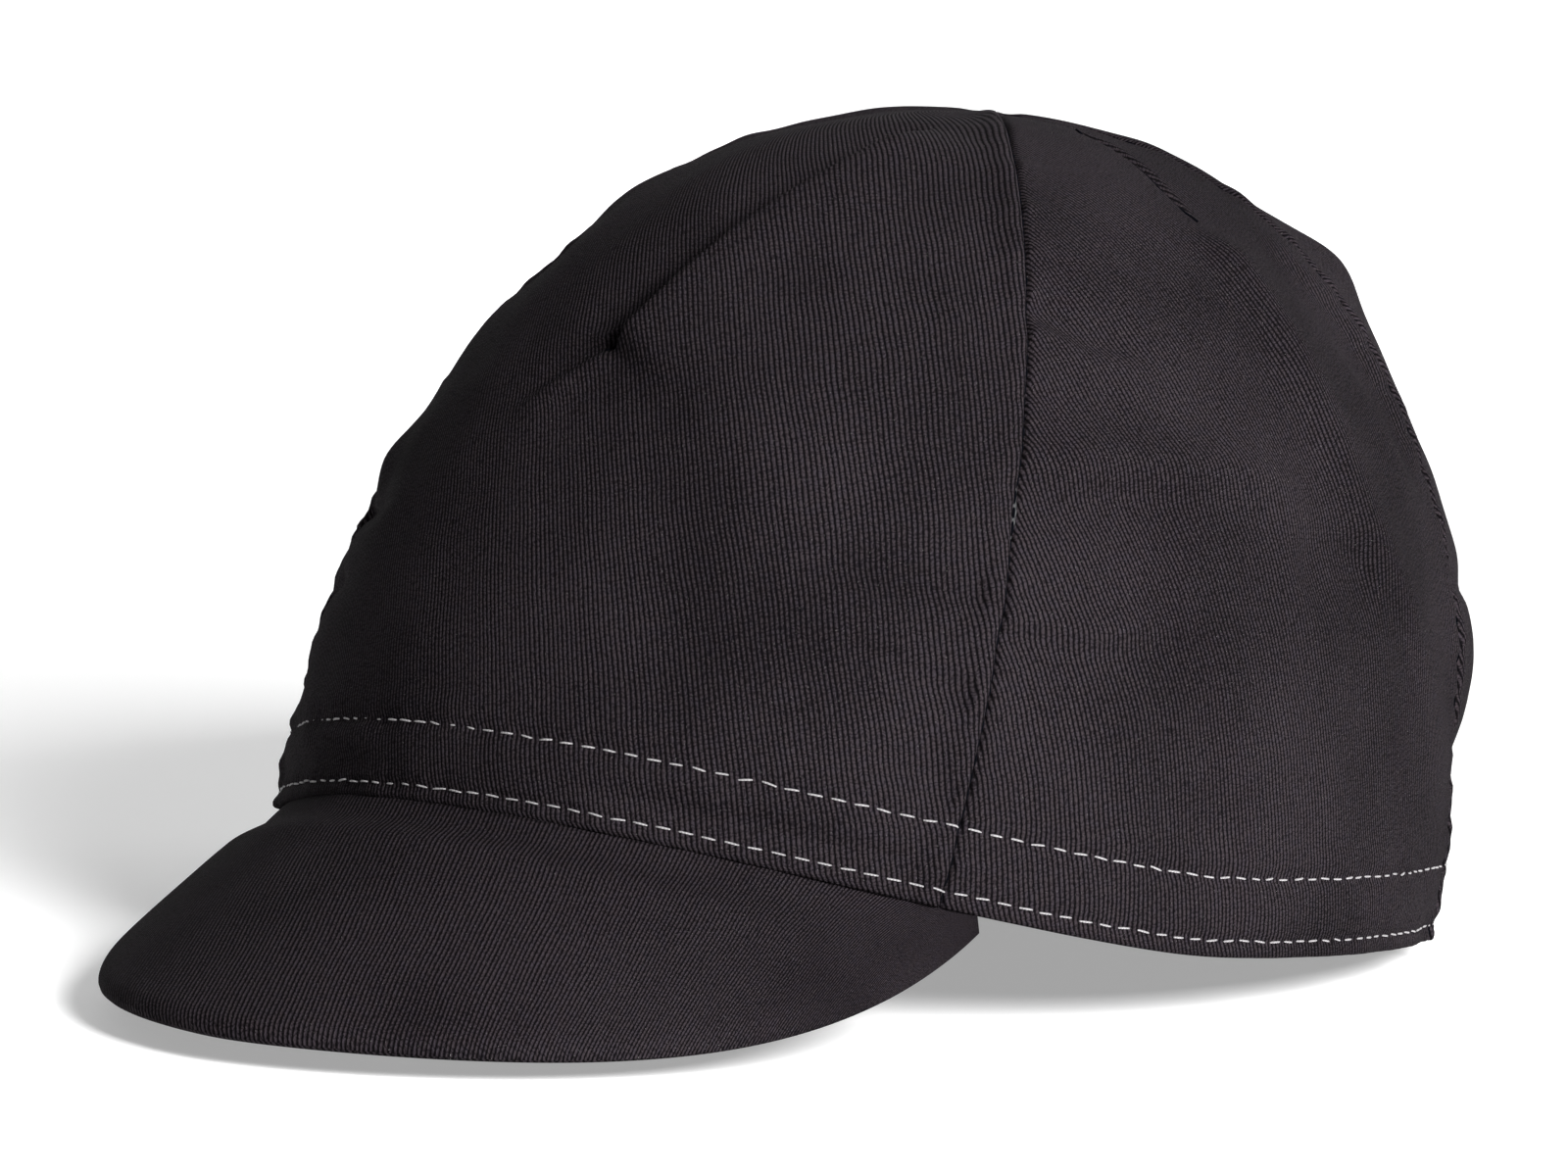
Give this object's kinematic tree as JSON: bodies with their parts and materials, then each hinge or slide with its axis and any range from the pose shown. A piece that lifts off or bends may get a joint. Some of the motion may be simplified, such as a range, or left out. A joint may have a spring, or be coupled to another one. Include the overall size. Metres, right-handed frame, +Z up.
{
  "type": "bump cap",
  "caption": "Close-fitting cloth safety cap with a short stiff peak and a removable vented shell with foam pads inside.",
  "frame": {"origin": "middle of the resting cap's footprint box, on the surface it stands on", "axes": "+Z up, the peak faces -Y, the wearer's left is +X; the cap is tipped back a little, as it rests on its peak and the back of its band"},
  "size_m": [0.177, 0.2734, 0.1354],
  "materials": {
    "twill": "matte",
    "facing": "matte",
    "tape": "matte",
    "elastic": "matte",
    "label": "satin",
    "thread": "satin",
    "loop": "matte",
    "hook": "satin",
    "board": "matte",
    "shell": "satin",
    "foam": "matte"
  },
  "bodies": {
    "insert": {"protective_shell": "shell", "hook_tabs": "hook", "pad_front": "foam", "pad_left": "foam", "pad_rear": "foam", "pad_right": "foam", "pad_crown": "foam"},
    "cap": {"crown_front_panel": "twill", "crown_left_panel": "twill", "crown_rear_panel": "twill", "crown_right_panel": "twill", "seam_tape_left_front": "tape", "seam_tape_left_rear": "tape", "seam_tape_right_rear": "tape", "seam_tape_right_front": "tape", "sweatband": "facing", "rear_elastic": "elastic", "care_label": "label", "topstitch_lower": "thread", "topstitch_upper": "thread", "loop_tabs": "loop"},
    "peak": {"peak_board": "board", "peak_top_cover": "twill", "peak_bottom_cover": "twill"}
  },
  "joints": [
    {"name": "cap_lift", "type": "slide", "parent": "insert", "child": "cap", "axis": [0, 0.2505, 0.9681], "range_m": [0, 0.16]},
    {"name": "peak_flex", "type": "hinge", "parent": "cap", "child": "peak", "pos_m": [0, -0.08574, 0.03417], "axis": [-1, 0, 0], "range_deg": [0, 20], "stiffness_Nm_per_rad": 0.6, "springref_deg": -20.05}
  ]
}
